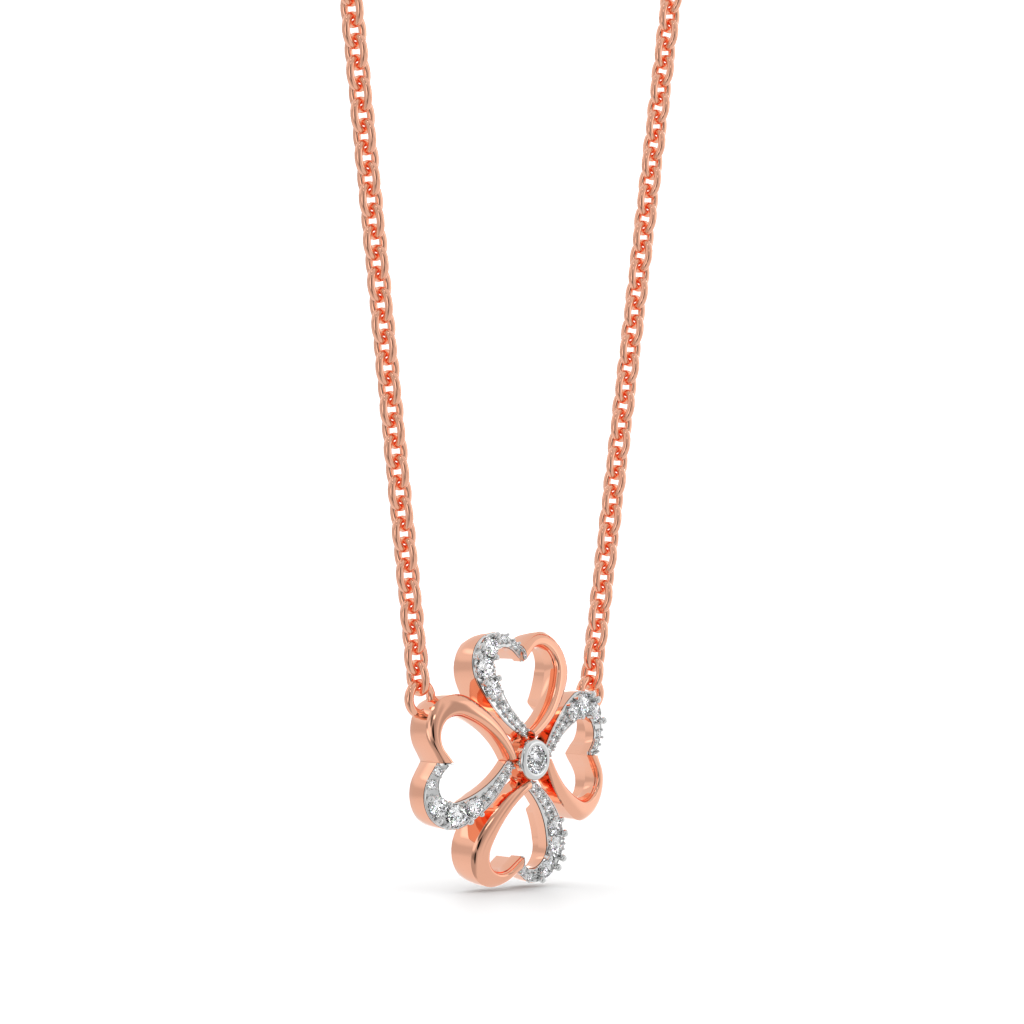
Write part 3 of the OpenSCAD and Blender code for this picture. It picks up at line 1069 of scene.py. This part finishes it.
# What the metal and the stones mirror, laid over each other in this order: the
# middle of each card as azimuth from straight ahead of the clover and height
# over the horizon, its half width and half height, all in degrees, the share
# of it that is a soft edge, and its brightness
Card = namedtuple("Card", "azimuth height wide tall soft level")
CARDS = [Card(*row) for row in (
    (-72, 0, 44, 90, 0.25, 0.5),
    (-160, -45, 60, 25, 0.5, 0.88),
    (-160, 2, 62, 11, 0.5, 0.65),
    (-155, 23, 50, 9, 0.8, 0.88),
    (-152, 31, 14, 4, 0.6, 1.3),
    (-14, 20, 12, 36, 0.5, 0.58),
    (48, 20, 30, 18, 0.3, 1.05),
    (20, 16, 8, 30, 0.6, 0.5),
    (42, 9, 13, 8, 0.4, 1.4),
    (92, -2, 40, 26, 0.5, 1.0),
    (125, -18, 18, 8, 0.5, 1.3),
    (132, 8, 22, 10, 0.3, 2.8),
    (-78, 38, 9, 16, 0.4, 0.88),
    (-64, 8, 11, 19, 0.3, 1.1),
    (-79, -8, 7, 14, 0.4, 1.35),
    (-58, -25, 11, 9, 0.4, 0.28),
    (-28, 8, 9, 20, 0.5, 0.42),
    (-39, 2, 8, 16, 0.25, 0.0),
    (-47, -29, 7, 15, 0.3, 0.03),
    (-55, 27, 6, 14, 0.3, 0.15),
    (-40, 31, 5, 5, 0.4, 2.2),
    (-72, 57, 9, 5, 0.4, 2.2),
)]
# Sockets of the card mask, in the order of a card's first values
CARD_SOCKETS = ("Card azimuth", "Card height", "Half width", "Half height", "Soft edge")
ROOM_LEVEL = 0.8
# The floor's reach from its middle in metres
FLOOR_REACH = 3
# Times that light goes from wall to wall in the deep clefts between the hearts
MIRROR_BOUNCES = 8
# Share of their light that the metals don't pass on to the floor
FLOOR_LOSS = 0.85
# The many small lights and darks that the stones break the room into: how fine
# they and their hues are, the share of colour in them, their light, and the
# share of them where each level starts
SPARK_SCALE = 11
HUE_SCALE = 18.7
FIRE = 0.35
SPARK_LEVEL = 8
SPARKS = ((0.0, 0.0), (0.64, 0.07), (0.76, 0.15), (0.86, 0.4), (0.955, 1.0))


def card_mask():
    """Node group: how much of a card lies in a direction, 1 in its middle and 0 outside."""
    names = ("Azimuth", "Height", *CARD_SOCKETS)
    group, inputs, outputs = node_group("Card mask", dict.fromkeys(names, "Float"), {"Mask": "Float"})
    nodes, links = group.nodes, group.links
    math = partial(math_node, nodes, links)
    off = math("WRAP", math("SUBTRACT", inputs["Azimuth"], inputs["Card azimuth"]), 180, -180)
    across = math("DIVIDE", off, inputs["Half width"])
    climb = math("DIVIDE", math("SUBTRACT", inputs["Height"], inputs["Card height"]), inputs["Half height"])
    out = math("SQRT", math("ADD", math("MULTIPLY", across, across), math("MULTIPLY", climb, climb)))
    fall = nodes.new("ShaderNodeMapRange")
    fall.interpolation_type = "SMOOTHSTEP"
    links.new(out, fall.inputs["Value"])
    links.new(math("SUBTRACT", 1, inputs["Soft edge"]), fall.inputs["From Min"])
    links.new(math("ADD", 1, inputs["Soft edge"]), fall.inputs["From Max"])
    fall.inputs["To Min"].default_value = 1
    fall.inputs["To Max"].default_value = 0
    links.new(fall.outputs["Result"], outputs["Mask"])
    return group


def studio_world(white):
    """White for the camera and the floor, cards of light and dark for what metal and stones mirror."""
    world = bpy.data.worlds.new("Studio")
    world.use_nodes = True
    nodes, links = world.node_tree.nodes, world.node_tree.links
    background = nodes["Background"]
    place = nodes.new("ShaderNodeTexCoord").outputs["Generated"]
    split = nodes.new("ShaderNodeSeparateXYZ")
    links.new(place, split.inputs["Vector"])
    math = partial(math_node, nodes, links)

    def blend(share, first, second):
        kept = math("MULTIPLY", math("SUBTRACT", 1, share), first)
        return math("ADD", kept, math("MULTIPLY", share, second))

    ahead = math("MULTIPLY", split.outputs["Y"], -1)
    azimuth = math("DEGREES", math("ARCTAN2", split.outputs["X"], ahead))
    height = math("DEGREES", math("ARCSINE", split.outputs["Z"]))
    mask = card_mask()
    level = ROOM_LEVEL
    for card in CARDS:
        node = nodes.new("ShaderNodeGroup")
        node.node_tree = mask
        links.new(azimuth, node.inputs["Azimuth"])
        links.new(height, node.inputs["Height"])
        for socket, value in zip(CARD_SOCKETS, card):
            node.inputs[socket].default_value = value
        level = blend(node.outputs["Mask"], level, card.level)
    rays = nodes.new("ShaderNodeLightPath").outputs
    off_floor = math("MINIMUM", rays["Diffuse Depth"], 1)
    level = math("MULTIPLY", level, math("SUBTRACT", 1, math("MULTIPLY", off_floor, FLOOR_LOSS)))
    plain = math("MAXIMUM", rays["Is Camera Ray"], rays["Is Diffuse Ray"])
    gem = rays["Is Transmission Ray"]
    cells = random_cells(nodes, links, place, SPARK_SCALE)
    spark = cell_colors(nodes, links, cells, [(share, (light, light, light)) for share, light in SPARKS])
    fire = nodes.new("ShaderNodeMix")
    fire.data_type = "RGBA"
    links.new(math("MULTIPLY", gem, FIRE), fire.inputs["Factor"])
    fire.inputs["A"].default_value = (1, 1, 1, 1)
    links.new(random_cells(nodes, links, place, HUE_SCALE), fire.inputs["B"])
    seen = blend(gem, level, math("MULTIPLY", spark, SPARK_LEVEL))
    links.new(blend(plain, seen, white), background.inputs["Strength"])
    links.new(fire.outputs["Result"], background.inputs["Color"])
    return world


class NECKLACE_OT_stage(bpy.types.Operator):
    """Make the camera, the floor and the light"""
    bl_idname = "necklace.stage"
    bl_label = "Stage"

    def execute(self, context):
        studio = context.scene.necklace_studio
        scene = context.scene
        a, e, roll = studio.azimuth, studio.elevation, studio.roll
        back = Vector((sin(a) * cos(e), -cos(a) * cos(e), sin(e)))
        right = Vector((cos(a), sin(a), 0))
        up = back.cross(right)
        right, up = cos(roll) * right + sin(roll) * up, cos(roll) * up - sin(roll) * right
        aim = Vector((MIDDLE.x, 0, MIDDLE.z)) + right * studio.aim_right + up * studio.aim_up
        data = bpy.data.cameras.new("camera")
        data.lens = studio.lens
        data.sensor_width = 36
        data.clip_start = 0.01
        camera = bpy.data.objects.new("camera", data)
        turn = Matrix((right, up, back)).transposed().to_4x4()
        camera.matrix_world = Matrix.Translation(aim + back * studio.distance) @ turn
        scene.collection.objects.link(camera)
        scene.camera = camera
        scene.world = studio_world(studio.white)
        scene.view_settings.view_transform = "Standard"
        scene.cycles.use_denoising = True
        scene.cycles.glossy_bounces = MIRROR_BOUNCES
        self.make_floor(scene, studio.floor_gap)
        return {"FINISHED"}

    def make_floor(self, scene, gap):
        low = CAD_BOUNDS[0]
        bm = bmesh.new()
        bmesh.ops.create_grid(bm, x_segments=1, y_segments=1, size=FLOOR_REACH)
        bmesh.ops.translate(bm, verts=bm.verts, vec=(0, 0, low.z - gap))
        floor = bpy.data.objects.new("floor", as_part(bm, "floor"))
        scene.collection.objects.link(floor)
        material, _, _, shader = new_material("Floor")
        shader["Base Color"].default_value = (0.95, 0.95, 0.95, 1)
        shader["Roughness"].default_value = 0.6
        floor.data.materials.append(material)
        floor.visible_glossy = False


class VIEW3D_PT_necklace(bpy.types.Panel):
    """Sizes, colours and pieces of the necklace."""
    bl_label = "Necklace"
    bl_space_type = "VIEW_3D"
    bl_region_type = "UI"
    bl_category = "Necklace"

    def draw(self, context):
        for group in GROUPS:
            values = getattr(context.scene, group)
            for name in values.bl_rna.properties.keys():
                if name not in {"rna_type", "name"}:
                    self.layout.prop(values, name)
        for operator in OPERATORS:
            self.layout.operator(operator.bl_idname)


GROUPS = {
    "necklace_finish": NecklaceFinish,
    "necklace_clover": CloverSizes,
    "necklace_chain": ChainSizes,
    "necklace_studio": StudioSizes,
}
OPERATORS = (
    NECKLACE_OT_stage,
    NECKLACE_OT_hearts,
    NECKLACE_OT_hub,
    NECKLACE_OT_plates,
    NECKLACE_OT_stones,
    NECKLACE_OT_claws,
    NECKLACE_OT_centre,
    NECKLACE_OT_chains,
    NECKLACE_OT_clasp,
)


def register():
    for name, group in GROUPS.items():
        bpy.utils.register_class(group)
        setattr(bpy.types.Scene, name, PointerProperty(type=group))
    for cls in (*OPERATORS, VIEW3D_PT_necklace):
        bpy.utils.register_class(cls)


def unregister():
    for cls in (VIEW3D_PT_necklace, *reversed(OPERATORS)):
        bpy.utils.unregister_class(cls)
    for name, group in GROUPS.items():
        delattr(bpy.types.Scene, name)
        bpy.utils.unregister_class(group)


def main():
    register()
    for operator in OPERATORS:
        folder, name = operator.bl_idname.split(".")
        getattr(getattr(bpy.ops, folder), name)()


if __name__ == "__main__":
    main()
